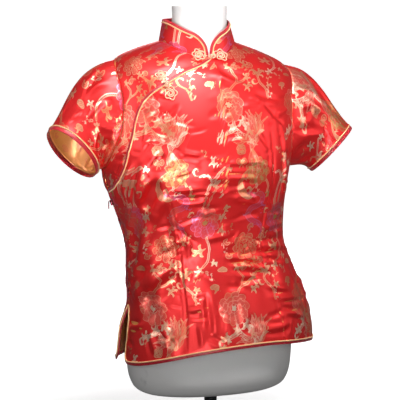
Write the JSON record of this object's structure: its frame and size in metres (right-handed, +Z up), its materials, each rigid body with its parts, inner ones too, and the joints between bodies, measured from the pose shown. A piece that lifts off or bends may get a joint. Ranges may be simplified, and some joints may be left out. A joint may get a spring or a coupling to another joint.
{
  "type": "cheongsam top on a dress form",
  "caption": "Short-sleeved cheongsam top with stand collar, curved side opening, frog closures and side slits, worn by a limbless dress form on a stand.",
  "frame": {"origin": "centre of the stand base's underside, on the pole's axis", "axes": "+Z up along the pole; the garment's front faces -Y; +X is the wearer's left"},
  "size_m": [0.6269, 0.2802, 0.899],
  "materials": {
    "brocade": "satin brocade",
    "satin": "satin",
    "piping": "satin",
    "cord": "satin",
    "zip": "gloss",
    "form": "smooth matte",
    "black_metal": "semi-gloss"
  },
  "bodies": {
    "garment": {"front": "brocade", "front_underlap": "brocade", "back": "brocade", "sleeve_right": "brocade", "sleeve_left": "brocade", "collar": "brocade", "binding_hem_front": "satin", "binding_hem_back": "satin", "binding_opening": "satin", "binding_collar": "satin", "binding_cuff_right": "satin", "binding_cuff_left": "satin", "piping_hem_front": "piping", "piping_hem_back": "piping", "piping_opening": "piping", "piping_collar": "piping", "piping_cuff_right": "piping", "piping_cuff_left": "piping", "frog_neck_right": "cord", "frog_neck_left": "cord", "knot_neck": "cord", "frog_slant_upper": "cord", "frog_slant_lower": "cord", "knot_slant": "cord", "zip_chain": "zip", "zip_slider": "zip", "dress_form": "form", "stand_pole": "black_metal", "stand_base": "black_metal"},
    "pull": {"zip_pull": "zip"}
  },
  "joints": [
    {"name": "zip_pull_hinge", "type": "hinge", "parent": "garment", "child": "pull", "pos_m": [-0.19973, 0.02059, 0.52803], "axis": [0, 1, 0], "range_deg": [0, 130]}
  ]
}
